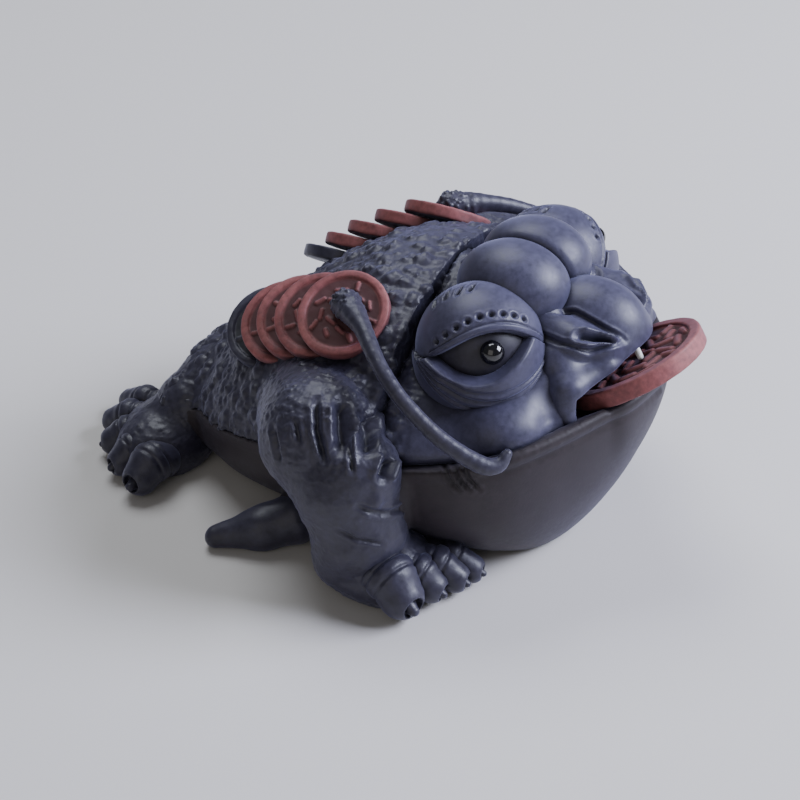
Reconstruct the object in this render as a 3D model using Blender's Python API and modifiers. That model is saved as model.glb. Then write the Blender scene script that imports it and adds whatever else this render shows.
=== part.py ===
"""Zisha-clay money toad (a tea pet), built from the pieces its maker lutes together.

Units are metres, +Z up. The toad stands on z = 0, faces -Y, and its own left is +X.
Every piece is one closed object. Neighbours keep GAP between them, the joint that slip fills.
"""

import math

import bmesh
import bpy
from mathutils import Matrix, Vector


def mm(*values):
    """Millimetres to a vector in metres."""
    return Vector(values) / 1000


# ---- Driving dimensions --------------------------------------------------------------------
GAP = 0.0003  # slip joint between two pieces
FRONT_Y = -0.0570  # where the mouth line would end in front
LIP_Z = 0.0355  # height of the mouth line there
SEAM_SLOPE = 0.24  # the line between belly and back drops this much per metre to the rear
HEAD_BACK_Y = -0.0138  # where the head is luted to the back
CENTRE_SHIFT = 0.0011  # moves the finished toad over the origin
VENT_RADIUS = 0.0050  # firing hole in the belly
VENT_Y = 0.0020

# Cross-sections of the trunk from jaw to rump: y, half width, lowest, widest height, highest (mm)
TRUNK = (
    (-55.5, 0.0, 32.0, 32.0, 36.0),
    (-54.2, 7.0, 26.0, 32.5, 38.0),
    (-50.5, 14.5, 15.0, 32.5, 40.0),
    (-45.5, 23.5, 5.0, 32.0, 43.0),
    (-39.5, 31.8, -2.5, 31.0, 47.0),
    (-33.0, 36.3, -4.5, 29.5, 49.5),
    (-26.0, 38.3, -4.5, 28.0, 50.0),
    (-15.0, 37.5, -4.5, 24.5, 51.5),
    (0.0, 34.5, -4.5, 19.0, 50.0),
    (14.0, 31.5, -4.5, 16.0, 41.5),
    (26.0, 26.0, -4.0, 13.5, 31.5),
    (36.0, 17.5, -2.0, 11.5, 22.5),
    (41.5, 8.5, 3.5, 11.0, 17.0),
    (43.0, 0.0, 11.0, 11.0, 11.0),
)
# Cross-sections of the face from upper lip to neck, in the same columns (mm)
FACE = (
    (-51.0, 0.0, 36.0, 40.0, 41.0),
    (-50.0, 9.0, 28.0, 38.5, 45.0),
    (-46.5, 17.5, 22.0, 36.0, 47.5),
    (-41.0, 26.0, 20.0, 33.5, 49.0),
    (-34.0, 32.5, 18.0, 31.5, 50.5),
    (-26.0, 36.0, 18.0, 30.0, 51.5),
    (-19.0, 37.0, 18.0, 29.0, 51.5),
    (-12.0, 36.5, 24.0, 28.0, 50.5),
    (-2.0, 25.0, 27.0, 31.0, 45.0),
    (2.0, 0.0, 36.0, 36.0, 36.0),
)
FACE_PEAK = 1.45
# The hollows that firing needs, the body's and the jaw's, and the open mouth over the second
BODY_HOLLOW, BODY_HOLLOW_RADII = mm(0, 4, 23), mm(29, 30, 20)
JAW_HOLLOW, JAW_HOLLOW_RADII = mm(0, -27, 13), mm(24, 20, 9.5)
THROAT, THROAT_RADII = mm(0, -42, 35), mm(19.5, 11, 8)

EYE_CENTRE = mm(-17.0, -26.0, 43.0)
GAZE = Vector((-0.73, -0.56, 0.39)).normalized()
EYEBALL_RADIUS, LID_RADIUS = 0.0097, 0.0117
PUPIL_RADIUS = 0.0020
UPPER_LID_ANGLE, LOWER_LID_ANGLE = math.radians(20), math.radians(27)

MOUTH_COIN_CENTRE = mm(0, -49.8, 36.3)
MOUTH_COIN_RADIUS, MOUTH_COIN_THICKNESS = 0.0138, 0.0034
MOUTH_COIN_TILT = math.radians(32)
STRING_COIN_RADIUS, STRING_COIN_THICKNESS = 0.0088, 0.0026
STRING_SEAT_THICKNESS = 0.0037  # the pressed seats of neighbouring coins run into each other
STRING_COIN_NORMAL = Vector((-0.57, 0.0, 0.82)).normalized()
# Centres of the right-hand string from front to rear (mm); the last one is the plain end disc
STRING = (
    (-22.0, -1.0, 45.5),
    (-20.4, 4.9, 42.8),
    (-18.4, 10.0, 40.1),
    (-16.9, 14.4, 37.1),
    (-15.4, 18.6, 34.1),
)
CORD = (
    (-22.3, -1.6, 48.0),
    (-27.5, -7.5, 47.5),
    (-33.5, -14.0, 44.5),
    (-36.8, -20.5, 40.5),
    (-37.6, -28.0, 35.5),
    (-36.3, -35.5, 31.8),
)
CORD_RADII = (0.0030, 0.0017, 0.0014, 0.0014, 0.0015, 0.0017)

# Limbs of the right side (mm): places along them, and the radius at each place
FORELEG = ((-28, 1, 26), (-36.3, -4, 28.2), (-40, -11, 22.5), (-41, -13.5, 14), (-40.7, -12, 8))
FORELEG_RADII = (0.0118, 0.0112, 0.0099, 0.0084, 0.0076)
FOREFOOT_CENTRE, FOREFOOT_RADII = mm(-38.3, -17.5, 5.0), mm(9.4, 9.4, 7.0)
FORE_TOES = (
    ((-43.0, -18.5, 7.2), (-45.2, -24.2, 4.6), 0.0048),
    ((-39.2, -21.5, 6.4), (-38.9, -27.2, 3.8), 0.0036),
    ((-35.4, -23.0, 6.2), (-34.2, -29.8, 3.5), 0.0033),
    ((-31.8, -23.5, 5.8), (-30.2, -31.4, 3.3), 0.0030),
)
HIND_LEG = ((0, 30, 15), (-7, 34.5, 12.5), (-14, 38.5, 9.5))
HIND_LEG_RADII = (0.0105, 0.0090, 0.0078)
HIND_FOOT_CENTRE, HIND_FOOT_RADII = mm(-19.0, 42.0, 4.4), mm(12.0, 9.5, 7.4)
HIND_TOES = (
    ((-11.5, 48.0, 5.4), (-9.5, 57.2, 3.2), 0.0030),
    ((-16.5, 48.5, 5.4), (-17.3, 56.0, 3.2), 0.0032),
    ((-21.0, 46.5, 5.2), (-24.0, 52.0, 3.3), 0.0033),
    ((-25.0, 43.5, 5.0), (-29.7, 46.3, 3.4), 0.0034),
    ((-27.5, 38.0, 5.0), (-33.5, 39.2, 4.0), 0.0041),
)
FLANK_TOE = ((-33.0, 4.5, 5.0), (-37.0, 9.5, 3.6), (-41.5, 17.0, 2.2))
FLANK_TOE_RADII = (0.0050, 0.0040, 0.0022)

COLOURS = {
    "purple_clay": ((0.055, 0.050, 0.062), 0.46),
    "red_clay": ((0.330, 0.105, 0.080), 0.62),
    "white_clay": ((0.780, 0.790, 0.740), 0.35),
    "black_glaze": ((0.004, 0.004, 0.006), 0.06),
}

parts = bpy.data.collections.new("money_toad")
cutters = bpy.data.collections.new("cutters")


# ---- Tools ---------------------------------------------------------------------------------
def clear_scene():
    for thing in list(bpy.data.objects):
        bpy.data.objects.remove(thing)
    for collection in (parts, cutters):
        bpy.context.scene.collection.children.link(collection)
    cutters.hide_render = True


def clay(name):
    found = bpy.data.materials.get(name)
    if found:
        return found
    colour, roughness = COLOURS[name]
    made = bpy.data.materials.new(name)
    made.use_nodes = True
    shader = made.node_tree.nodes["Principled BSDF"]
    shader.inputs["Base Color"].default_value = (*colour, 1)
    shader.inputs["Roughness"].default_value = roughness
    return made


def keep(thing, name, material="purple_clay"):
    """Makes a form a named part of the toad."""
    thing.name = thing.data.name = name
    move_to(thing, parts)
    thing.data.materials.clear()
    thing.data.materials.append(clay(material))
    thing.data.shade_smooth()
    thing.data.set_sharp_from_angle(angle=math.radians(40))
    return thing


def move_to(thing, collection):
    for old in list(thing.users_collection):
        old.objects.unlink(thing)
    collection.objects.link(thing)


def cutter(thing, name):
    thing.name = name
    move_to(thing, cutters)
    thing.hide_render = True
    thing.display_type = "WIRE"
    return thing


def grown(form, name, by=GAP):
    """A cutter with the form's own surface, moved out by the slip joint."""
    made = cutter(bpy.data.objects.new(name, form.data), name)
    made.matrix_world = form.matrix_world
    swell = made.modifiers.new("swell", "DISPLACE")
    swell.strength = by
    swell.mid_level = 0
    return made


def boolean(thing, other, operation="DIFFERENCE"):
    cut = thing.modifiers.new(f"{operation.lower()}_{other.name}", "BOOLEAN")
    cut.operation = operation
    cut.object = other


def clear_of(thing, *others):
    for other in others:
        boolean(thing, other)


def apply_scale(thing):
    thing.data.transform(Matrix.Diagonal((*thing.scale, 1)))
    thing.scale = (1, 1, 1)


def ellipsoid(centre, radii, rotation=(0, 0, 0), segments=24, rings=14):
    bpy.ops.mesh.primitive_uv_sphere_add(
        segments=segments, ring_count=rings, radius=1, location=centre, rotation=rotation
    )
    made = bpy.context.active_object
    made.scale = radii
    apply_scale(made)
    return made


def block(low, high, rotation=None, pivot=None):
    """A box between two corners, turned about the pivot when a rotation is given."""
    bpy.ops.mesh.primitive_cube_add(size=1)
    made = bpy.context.active_object
    size, middle = Vector(high) - Vector(low), (Vector(high) + Vector(low)) / 2
    made.data.transform(Matrix.Translation(middle) @ Matrix.Diagonal((*size, 1)))
    if rotation is not None:
        made.matrix_world = Matrix.Translation(pivot) @ rotation.to_matrix().to_4x4()
    return made


def spline_value(rows, y, column):
    """Catmull-Rom through a column of a table whose first column is y."""
    last = len(rows) - 2
    i = max(k for k in range(last + 1) if rows[k][0] <= y or k == 0)
    a, b = rows[i], rows[i + 1]
    before, after = rows[max(i - 1, 0)], rows[min(i + 2, last + 1)]
    step = b[0] - a[0]
    t = (y - a[0]) / step
    slope_a = (b[column] - before[column]) / (b[0] - before[0])
    slope_b = (after[column] - a[column]) / (after[0] - a[0])
    h = (2 * t**3 - 3 * t**2 + 1, t**3 - 2 * t**2 + t, -2 * t**3 + 3 * t**2, t**3 - t**2)
    return h[0] * a[column] + h[1] * step * slope_a + h[2] * b[column] + h[3] * step * slope_b


def section_form(rows, segments, rings, peak=2.0):
    """A sphere whose rings become the table's cross-sections, with its poles on the Y axis.

    The upper half follows a superellipse: a peak of 2 is round, and 1 is a straight-sided roof.
    """
    turn = Matrix.Rotation(math.radians(90), 4, "X")
    mesh = bpy.data.meshes.new("form")
    shape = bmesh.new()
    bmesh.ops.create_uvsphere(
        shape, u_segments=segments, v_segments=rings, radius=1, matrix=turn
    )
    first, last = rows[0][0], rows[-1][0]
    for vertex in shape.verts:
        along = max(-1.0, min(1.0, vertex.co.y))
        y = first + (last - first) * (along + 1) / 2
        around = math.hypot(vertex.co.x, vertex.co.z)
        if around < 1e-6:
            vertex.co = mm(0, y, spline_value(rows, y, 3))
            continue
        across, rise = vertex.co.x / around, vertex.co.z / around
        width, low, side, high = (spline_value(rows, y, c) for c in (1, 2, 3, 4))
        reach = high - side if rise > 0 else side - low
        power = peak if rise > 0 else 2.0
        far = (abs(across) ** power + abs(rise) ** power) ** (-1 / power)
        vertex.co = mm(across * far * width, y, side + rise * far * reach)
    shape.to_mesh(mesh)
    shape.free()
    made = bpy.data.objects.new("form", mesh)
    bpy.context.scene.collection.objects.link(made)
    return made


def rounded(points, radii):
    """Points and radii of a limb with both of its ends rounded off."""
    ends = ((0.05, 1.0), (0.5, 0.87), (0.87, 0.5))  # share of the radius, share of the overhang
    start, finish = points[0], points[-1]
    back = (points[0] - points[1]).normalized() * radii[0]
    on = (points[-1] - points[-2]).normalized() * radii[-1]
    head = [(start + back * far, radii[0] * share) for share, far in ends]
    tail = [(finish + on * far, radii[-1] * share) for share, far in reversed(ends)]
    middle = list(zip(points, radii, strict=True))
    return head + middle + tail


def limb(points, radii, sides=2):
    """A tube along the points with a radius at each, turned into a closed mesh."""
    curve = bpy.data.curves.new("limb", "CURVE")
    curve.dimensions = "3D"
    curve.bevel_depth = 1
    curve.bevel_resolution = sides
    curve.use_fill_caps = True
    stations = rounded([Vector(p) for p in points], radii)
    spline = curve.splines.new("POLY")
    spline.points.add(len(stations) - 1)
    for point, (place, radius) in zip(spline.points, stations, strict=True):
        point.co = (*place, 1)
        point.radius = radius
    tube = bpy.data.objects.new("limb", curve)
    bpy.context.scene.collection.objects.link(tube)
    bpy.context.view_layer.update()
    graph = bpy.context.evaluated_depsgraph_get()
    mesh = bpy.data.meshes.new_from_object(tube.evaluated_get(graph))
    bpy.data.objects.remove(tube)
    weld = bmesh.new()
    weld.from_mesh(mesh)
    bmesh.ops.remove_doubles(weld, verts=weld.verts, dist=1e-6)
    bmesh.ops.recalc_face_normals(weld, faces=weld.faces)
    weld.to_mesh(mesh)
    weld.free()
    made = bpy.data.objects.new("limb", mesh)
    bpy.context.scene.collection.objects.link(made)
    return made


def disc(centre, normal, radius, thickness, segments):
    """A round slab, centred on a point, with softened edges."""
    bpy.ops.mesh.primitive_cylinder_add(
        vertices=segments, radius=radius, depth=thickness, location=centre
    )
    made = bpy.context.active_object
    made.rotation_euler = normal.to_track_quat("Z", "Y").to_euler()
    soften = made.modifiers.new("soften", "BEVEL")
    soften.width = thickness * 0.2
    soften.segments = 1
    soften.limit_method = "ANGLE"
    return made


def flip(vector, side):
    """A point or direction of the right side (-X), or its mirror on the left."""
    return Vector((vector[0] * side, vector[1], vector[2]))


SIDES = (("right", 1), ("left", -1))


# ---- Shells --------------------------------------------------------------------------------
def add_shells(floor):
    """Belly bowl with the lower jaw, warty back, and the face: three thick-walled shells."""
    trunk = section_form(TRUNK, 32, 26)
    face = section_form(FACE, 32, 16, FACE_PEAK)
    body = cutter(ellipsoid(BODY_HOLLOW, BODY_HOLLOW_RADII, segments=20, rings=12), "body_hollow")
    jaw = cutter(ellipsoid(JAW_HOLLOW, JAW_HOLLOW_RADII, segments=20, rings=12), "jaw_hollow")
    throat = cutter(ellipsoid(THROAT, THROAT_RADII, segments=24, rings=12), "throat")

    seam = Matrix.Rotation(math.atan(-SEAM_SLOPE), 3, "X").to_euler()
    pivot = Vector((0, FRONT_Y, LIP_Z))
    far = 0.2
    above = cutter(block((-far, -far, -GAP / 2), (far, far, far), seam, pivot), "above_seam")
    below = cutter(block((-far, -far, -far), (far, far, GAP / 2), seam, pivot), "below_seam")
    ahead = cutter(
        block((-far, -far, -far), (far, HEAD_BACK_Y + GAP / 2, far)), "ahead_of_neck"
    )
    behind = cutter(
        block((-far, HEAD_BACK_Y - GAP / 2, -far), (far, far, far)), "behind_neck"
    )
    vent = cutter(
        limb([Vector((0, VENT_Y, -0.01)), Vector((0, VENT_Y, 0.02))], [VENT_RADIUS] * 2), "vent"
    )

    belly = keep(trunk, "belly_shell")
    back = keep(bpy.data.objects.new("back", trunk.data.copy()), "back_shell")
    head = keep(face, "head_shell")
    clear_of(belly, above, body, jaw, throat, vent, floor)
    clear_of(back, below, ahead, body)
    clear_of(head, below, behind, body, throat)
    return belly, back, head


# ---- Face ----------------------------------------------------------------------------------
def add_muzzle(head_skin, mouth):
    muzzle = ellipsoid(mm(0, -40.3, 42.5), mm(15.5, 11.6, 8.9), (math.radians(5), 0, 0))
    keep(muzzle, "muzzle")
    clear_of(muzzle, head_skin, mouth)
    return muzzle


def add_brows(head_skin, back_skin, muzzle_skin):
    """Two smooth knobs over the eyes, meeting in a cleft between them."""
    made = []
    for name, side in SIDES:
        knob = ellipsoid(flip(mm(-9.8, -26.5, 47.8), side), mm(10.8, 12.0, 9.0))
        keep(knob, f"brow_{name}")
        low, high = Vector((-GAP / 2, -0.1, 0)), Vector((0.1, 0.1, 0.1))
        if side < 0:
            low, high = Vector((-0.1, -0.1, 0)), Vector((GAP / 2, 0.1, 0.1))
        beyond = cutter(block(low, high), f"beyond_cleft_{name}")
        clear_of(knob, head_skin, back_skin, beyond, muzzle_skin)
        made.append(knob)
    return made


def eye_frame(side):
    """Turns local axes to the eye's: X to its outer corner, Y up the lid, Z along the gaze."""
    gaze = flip(GAZE, side)
    outward = Vector((0, 0, 1)).cross(gaze).normalized()
    up = gaze.cross(outward)
    return Matrix((outward, up, gaze)).transposed()


def lid(centre, frame, angle, upper):
    """A spherical shell kept on one side of a plane that is tilted from the gaze by an angle."""
    made = ellipsoid(centre, [LID_RADIUS] * 3, segments=22, rings=12)
    sign = 1 if upper else -1
    tilt = Matrix.Rotation(-sign * angle, 3, "X")
    far = 0.03
    box = block((-far, -far, -far), (far, 0, far)) if upper else block((-far, 0, -far), (far, far, far))
    box.matrix_world = Matrix.Translation(centre) @ (frame @ tilt).to_4x4()
    return made, box


def add_eyes(head_skin, brows):
    for (name, side), brow in zip(SIDES, brows, strict=True):
        centre, frame = flip(EYE_CENTRE, side), eye_frame(side)
        gaze = flip(GAZE, side)
        brow_skin = grown(brow, f"brow_skin_{name}")
        ball = keep(
            ellipsoid(centre, [EYEBALL_RADIUS] * 3, segments=24, rings=14), f"eyeball_{name}"
        )
        bead = keep(
            ellipsoid(centre + gaze * (EYEBALL_RADIUS - 0.0005), [PUPIL_RADIUS] * 3, segments=12, rings=8),
            f"pupil_{name}",
            "black_glaze",
        )
        clear_of(ball, head_skin, brow_skin, grown(bead, f"pupil_socket_{name}", GAP / 3))
        inner = ellipsoid(centre, [EYEBALL_RADIUS + GAP] * 3, segments=24, rings=14)
        inner = cutter(inner, f"lid_inside_{name}")
        for label, angle, upper in (
            ("upper_lid", UPPER_LID_ANGLE, True),
            ("lower_lid", LOWER_LID_ANGLE, False),
        ):
            shell, box = lid(centre, frame, angle, upper)
            keep(shell, f"{label}_{name}")
            clear_of(shell, cutter(box, f"{label}_edge_{name}"), inner, head_skin, brow_skin)
            if not upper:
                rear = block((-0.03, -0.03, -0.03), (0.03, 0.03, 0.001))
                rear.matrix_world = Matrix.Translation(centre) @ frame.to_4x4()
                clear_of(shell, cutter(rear, f"behind_eye_{name}"))


def add_tooth(head, muzzle):
    tooth = limb([mm(-2.5, -49.0, 43.5), mm(-2.5, -51.3, 40.0)], [0.0007, 0.0006], sides=3)
    keep(tooth, "tooth", "white_clay")
    clear_of(muzzle, grown(tooth, "tooth_socket", GAP / 3))
    clear_of(head, bpy.data.objects["tooth_socket"])
    return tooth


# ---- Coins and cords -----------------------------------------------------------------------
def add_mouth_coin():
    normal = Vector((0, math.sin(MOUTH_COIN_TILT), math.cos(MOUTH_COIN_TILT)))
    coin = disc(MOUTH_COIN_CENTRE, normal, MOUTH_COIN_RADIUS, MOUTH_COIN_THICKNESS, 36)
    return keep(coin, "mouth_coin", "red_clay")


def add_coin_way():
    """Cutters for the room the loose coin rests in and for its way straight out of the mouth."""
    normal = Vector((0, math.sin(MOUTH_COIN_TILT), math.cos(MOUTH_COIN_TILT)))
    room, height = MOUTH_COIN_RADIUS + GAP, MOUTH_COIN_THICKNESS + 2 * GAP
    seat = cutter(disc(MOUTH_COIN_CENTRE, normal, room, height, 40), "coin_seat")
    seat.modifiers.clear()
    way = block((-room, -0.06, -height / 2), (room, 0, height / 2))
    turn = Matrix.Rotation(-MOUTH_COIN_TILT, 4, "X")
    way.matrix_world = Matrix.Translation(MOUTH_COIN_CENTRE) @ turn
    return seat, cutter(way, "coin_way")


def add_tongue(coin_seat):
    """The pad inside the jaw that the loose coin rests on."""
    tongue = ellipsoid(mm(0, -45.5, 28.5), mm(9.5, 6.5, 4.0), segments=24, rings=12)
    keep(tongue, "tongue")
    inside = ellipsoid(THROAT, THROAT_RADII - mm(0.3, 0.3, 0.3), segments=24, rings=12)
    boolean(tongue, cutter(inside, "mouth_inside"), "INTERSECT")
    clear_of(tongue, coin_seat)


def add_strings(trunk_skin, back):
    """On each flank four coins and a plain end disc lie like fallen dominoes, held by a clay cord."""
    for side_name, side in SIDES:
        normal = flip(STRING_COIN_NORMAL, side)
        for k, centre in enumerate(STRING, 1):
            coin = disc(
                flip(mm(*centre), side), normal, STRING_COIN_RADIUS, STRING_COIN_THICKNESS, 24
            )
            if k < len(STRING):
                keep(coin, f"string_coin_{side_name}_{k}", "red_clay")
            else:
                keep(coin, f"string_end_{side_name}")
            seat = cutter(
                disc(
                    flip(mm(*centre), side),
                    normal,
                    STRING_COIN_RADIUS + GAP,
                    STRING_SEAT_THICKNESS,
                    24,
                ),
                f"coin_seat_{side_name}_{k}",
            )
            clear_of(back, seat)


def add_cords(skins):
    for side_name, side in SIDES:
        path = [flip(mm(*p), side) for p in CORD]
        cord = keep(limb(path, CORD_RADII, sides=2), f"cord_{side_name}")
        clear_of(cord, *skins, bpy.data.objects[f"coin_seat_{side_name}_1"])


# ---- Limbs ---------------------------------------------------------------------------------
def add_toes(stations, side, name, skins):
    """Toes in a row, each one pressed against the one before it."""
    before = list(skins)
    for k, (root, tip, radius) in enumerate(stations, 1):
        ends = [flip(mm(*root), side), flip(mm(*tip), side)]
        toe = keep(limb(ends, [radius, radius * 0.9], sides=2), f"{name}_{k}")
        clear_of(toe, *before)
        before = [*skins, grown(toe, f"{name}_skin_{k}")]


def add_forelegs(skins, floor):
    for side_name, side in SIDES:
        path = [flip(mm(*p), side) for p in FORELEG]
        leg = keep(limb(path, FORELEG_RADII, sides=4), f"foreleg_{side_name}")
        clear_of(leg, *skins, bpy.data.objects[f"coin_seat_{side_name}_2"], floor)
        leg_skin = grown(leg, f"foreleg_skin_{side_name}")
        foot = ellipsoid(flip(FOREFOOT_CENTRE, side), FOREFOOT_RADII, segments=24, rings=12)
        keep(foot, f"forefoot_{side_name}")
        clear_of(foot, leg_skin, *skins, floor)
        foot_skin = grown(foot, f"forefoot_skin_{side_name}")
        add_toes(FORE_TOES, side, f"forefoot_toe_{side_name}", [foot_skin, leg_skin, *skins, floor])
        yield leg_skin


def add_hind_leg(skins, floor):
    leg = keep(limb([mm(*p) for p in HIND_LEG], HIND_LEG_RADII, sides=4), "hind_leg")
    clear_of(leg, *skins, floor)
    leg_skin = grown(leg, "hind_leg_skin")
    foot = keep(ellipsoid(HIND_FOOT_CENTRE, HIND_FOOT_RADII, segments=24, rings=12), "hind_foot")
    clear_of(foot, leg_skin, *skins, floor)
    foot_skin = grown(foot, "hind_foot_skin")
    add_toes(HIND_TOES, 1, "hind_foot_toe", [foot_skin, leg_skin, *skins, floor])


def add_flank_toes(skins, floor):
    for side_name, side in SIDES:
        path = [flip(mm(*p), side) for p in FLANK_TOE]
        toe = keep(limb(path, FLANK_TOE_RADII, sides=3), f"flank_toe_{side_name}")
        clear_of(toe, *skins, floor)


if __name__ == "__main__":
    clear_scene()
    under_floor = cutter(block((-0.2, -0.2, -0.05), (0.2, 0.2, 0)), "under_floor")
    belly_shell, back_shell, head_shell = add_shells(under_floor)
    head_skin = grown(head_shell, "head_skin")
    trunk_skin = grown(back_shell, "trunk_skin")
    muzzle_form = add_muzzle(head_skin, bpy.data.objects["throat"])
    brow_forms = add_brows(head_skin, trunk_skin, grown(muzzle_form, "muzzle_skin"))
    add_eyes(head_skin, brow_forms)
    add_tooth(head_shell, muzzle_form)
    add_mouth_coin()
    coin_seat, coin_way = add_coin_way()
    for thing in (belly_shell, head_shell, muzzle_form):
        clear_of(thing, coin_seat, coin_way)
    add_tongue(coin_seat)
    add_strings(trunk_skin, back_shell)
    leg_skins = list(add_forelegs([trunk_skin, head_skin], under_floor))
    add_cords([trunk_skin, head_skin, *leg_skins])
    add_hind_leg([trunk_skin], under_floor)
    add_flank_toes([trunk_skin, *leg_skins], under_floor)
    for thing in (*parts.objects, *cutters.objects):
        thing.matrix_world = Matrix.Translation((0, CENTRE_SHIFT, 0)) @ thing.matrix_world
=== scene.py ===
import math

import bpy
import numpy as np
import openvdb as vdb
from mathutils import Matrix, Vector


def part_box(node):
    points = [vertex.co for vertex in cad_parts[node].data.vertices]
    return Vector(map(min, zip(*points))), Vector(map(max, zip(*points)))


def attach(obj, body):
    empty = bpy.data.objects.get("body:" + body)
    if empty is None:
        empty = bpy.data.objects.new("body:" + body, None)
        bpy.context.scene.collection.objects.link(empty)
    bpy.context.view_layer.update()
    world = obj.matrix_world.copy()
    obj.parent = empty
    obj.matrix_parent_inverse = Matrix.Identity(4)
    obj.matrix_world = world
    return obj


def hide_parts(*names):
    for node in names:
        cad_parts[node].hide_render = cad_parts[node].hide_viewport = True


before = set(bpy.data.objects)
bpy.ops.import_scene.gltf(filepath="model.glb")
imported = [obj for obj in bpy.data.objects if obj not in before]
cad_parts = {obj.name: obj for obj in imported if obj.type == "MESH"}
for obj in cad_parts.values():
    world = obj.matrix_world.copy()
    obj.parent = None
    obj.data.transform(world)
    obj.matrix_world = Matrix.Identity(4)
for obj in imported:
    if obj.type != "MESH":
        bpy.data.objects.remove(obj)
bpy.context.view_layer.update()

# The clay forms are distance fields in millimetres, negative inside, meshed and then tooled by
# moving their vertices. The toad faces -y, its right side is -x, and left pieces are mirrored.
# Sizes and places below are before SHIFT, which centres the toad in the row frame.
SHIFT = np.array((0, 1.1, 0))
SIDES = (("right", 1), ("left", -1))
LIP_Z, FRONT_Y, SEAM_SLOPE, NECK_Y = 35.5, -57.0, 0.24, -13.8
ROOF_Z, ROOF_Y, ROOF_SLOPE = 41.0, -50.2, 0.72
MOUTH_HALF_WIDTH, MOUTH_BACK_Y = 18.8, -33.0
THROAT, THROAT_RADII = (0, -42.0, 35.0), (19.0, 10.9, 7.6)

# cross-sections as (y, half width, lowest z, widest z, highest z)
TRUNK = (
    (-55.5, 0.0, 32.0, 32.0, 36.0),
    (-54.2, 7.0, 26.0, 32.5, 38.0),
    (-50.5, 14.5, 15.0, 32.5, 40.0),
    (-45.5, 23.5, 5.0, 32.0, 43.0),
    (-39.5, 31.8, -2.5, 31.0, 47.0),
    (-33.0, 36.3, -4.5, 29.5, 49.5),
    (-26.0, 38.3, -4.5, 28.0, 50.0),
    (-15.0, 37.5, -4.5, 24.5, 51.5),
    (0.0, 34.5, -4.5, 19.0, 50.0),
    (14.0, 31.5, -4.5, 16.0, 41.5),
    (26.0, 26.0, -4.0, 13.5, 31.5),
    (36.0, 17.5, -2.0, 11.5, 22.5),
    (41.5, 8.5, 3.5, 11.0, 17.0),
    (43.0, 0.0, 11.0, 11.0, 11.0),
)
FACE = (
    (-51.0, 0.0, 26.0, 40.0, 43.0),
    (-50.0, 9.0, 24.0, 38.5, 45.0),
    (-46.5, 17.5, 22.0, 36.0, 47.5),
    (-41.0, 26.0, 20.0, 33.5, 49.0),
    (-34.0, 32.5, 18.0, 31.5, 50.5),
    (-26.0, 36.0, 18.0, 30.0, 51.5),
    (-19.0, 37.0, 18.0, 29.0, 51.5),
    (-12.0, 36.5, 24.0, 28.0, 50.5),
    (-2.0, 25.0, 27.0, 31.0, 45.0),
    (2.0, 0.0, 36.0, 36.0, 36.0),
)
FORELEG = ((-28, 1, 26), (-36.3, -4, 28.2), (-40, -11, 22.5), (-41, -13.5, 14), (-40.7, -12, 8))
FORELEG_RADII = (11.8, 11.2, 9.9, 8.4, 7.6)
FOREFOOT, FOREFOOT_RADII = (-38.3, -17.5, 5.0), (9.4, 9.4, 7.0)
FORE_TOES = (
    ((-43.0, -18.5, 7.2), (-45.2, -24.2, 4.8), 4.8),
    ((-39.2, -21.5, 6.4), (-38.9, -27.2, 3.8), 3.6),
    ((-35.4, -23.0, 6.2), (-34.2, -29.8, 3.5), 3.3),
    ((-31.8, -23.5, 5.8), (-30.2, -31.4, 3.3), 3.0),
)
HIND_LEG, HIND_LEG_RADII = ((0, 30, 15), (-7, 34.5, 12.5), (-14, 38.5, 9.5)), (10.5, 9.0, 7.8)
HIND_FOOT, HIND_FOOT_RADII = (-19.0, 42.0, 4.4), (12.0, 9.5, 7.4)
HIND_TOES = (
    ((-11.5, 48.0, 5.4), (-9.5, 57.2, 3.2), 3.0),
    ((-16.5, 48.5, 5.4), (-17.3, 56.0, 3.2), 3.2),
    ((-21.0, 46.5, 5.2), (-24.0, 52.0, 3.3), 3.3),
    ((-25.0, 43.5, 5.0), (-29.7, 46.3, 3.4), 3.4),
    ((-27.5, 38.0, 5.0), (-33.5, 39.2, 4.0), 4.1),
)
FLANK_TOE, FLANK_TOE_RADII = ((-33.0, 4.5, 5.0), (-37.0, 9.5, 3.6), (-41.5, 17.0, 2.2)), (5.0, 4.0, 2.2)
EYE = np.array((-17.0, -26.0, 43.0))
GAZE = np.array(Vector((-0.73, -0.56, 0.39)).normalized())
LID_RADIUS, BALL_RADIUS = 11.7, 9.7
CORD = (
    (-22.3, -1.6, 48.0), (-27.5, -7.5, 47.5), (-33.5, -14.0, 44.5),
    (-36.8, -20.5, 40.5), (-37.6, -28.0, 35.5), (-36.3, -34.8, 31.6),
    (-34.4, -37.6, 31.0), (-32.6, -38.6, 32.6),
)
CORD_RADII = (3.0, 1.7, 1.4, 1.4, 1.5, 1.6, 1.4, 0.9)
COIN_TILT = math.radians(32)
COIN_OUT = np.array((0, -math.cos(COIN_TILT), math.sin(COIN_TILT)))
COIN_UP = np.array((0, math.sin(COIN_TILT), math.cos(COIN_TILT)))
STRING_NORMAL = np.array(Vector((-0.57, 0.0, 0.82)).normalized())


def node_centre(node):
    """Middle of a CAD node's box, in the millimetres used here."""
    low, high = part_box(node)
    return np.array((low + high) / 2) * 1000 - SHIFT


low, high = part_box("mouth_coin")
COIN_CENTRE = node_centre("mouth_coin")
COIN_RADIUS, COIN_THICK = (high.x - low.x) * 500, 3.4
COIN_MARGIN, COIN_FACE_MARGIN = 0.5, 0.45


# ---- Distance fields -----------------------------------------------------------------------
def grid(low, high, step):
    """Coordinate arrays that broadcast over a box."""
    x, y, z = (np.arange(a, b + step, step, dtype=np.float32) for a, b in zip(low, high))
    return x[:, None, None], y[None, :, None], z[None, None, :]


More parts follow.
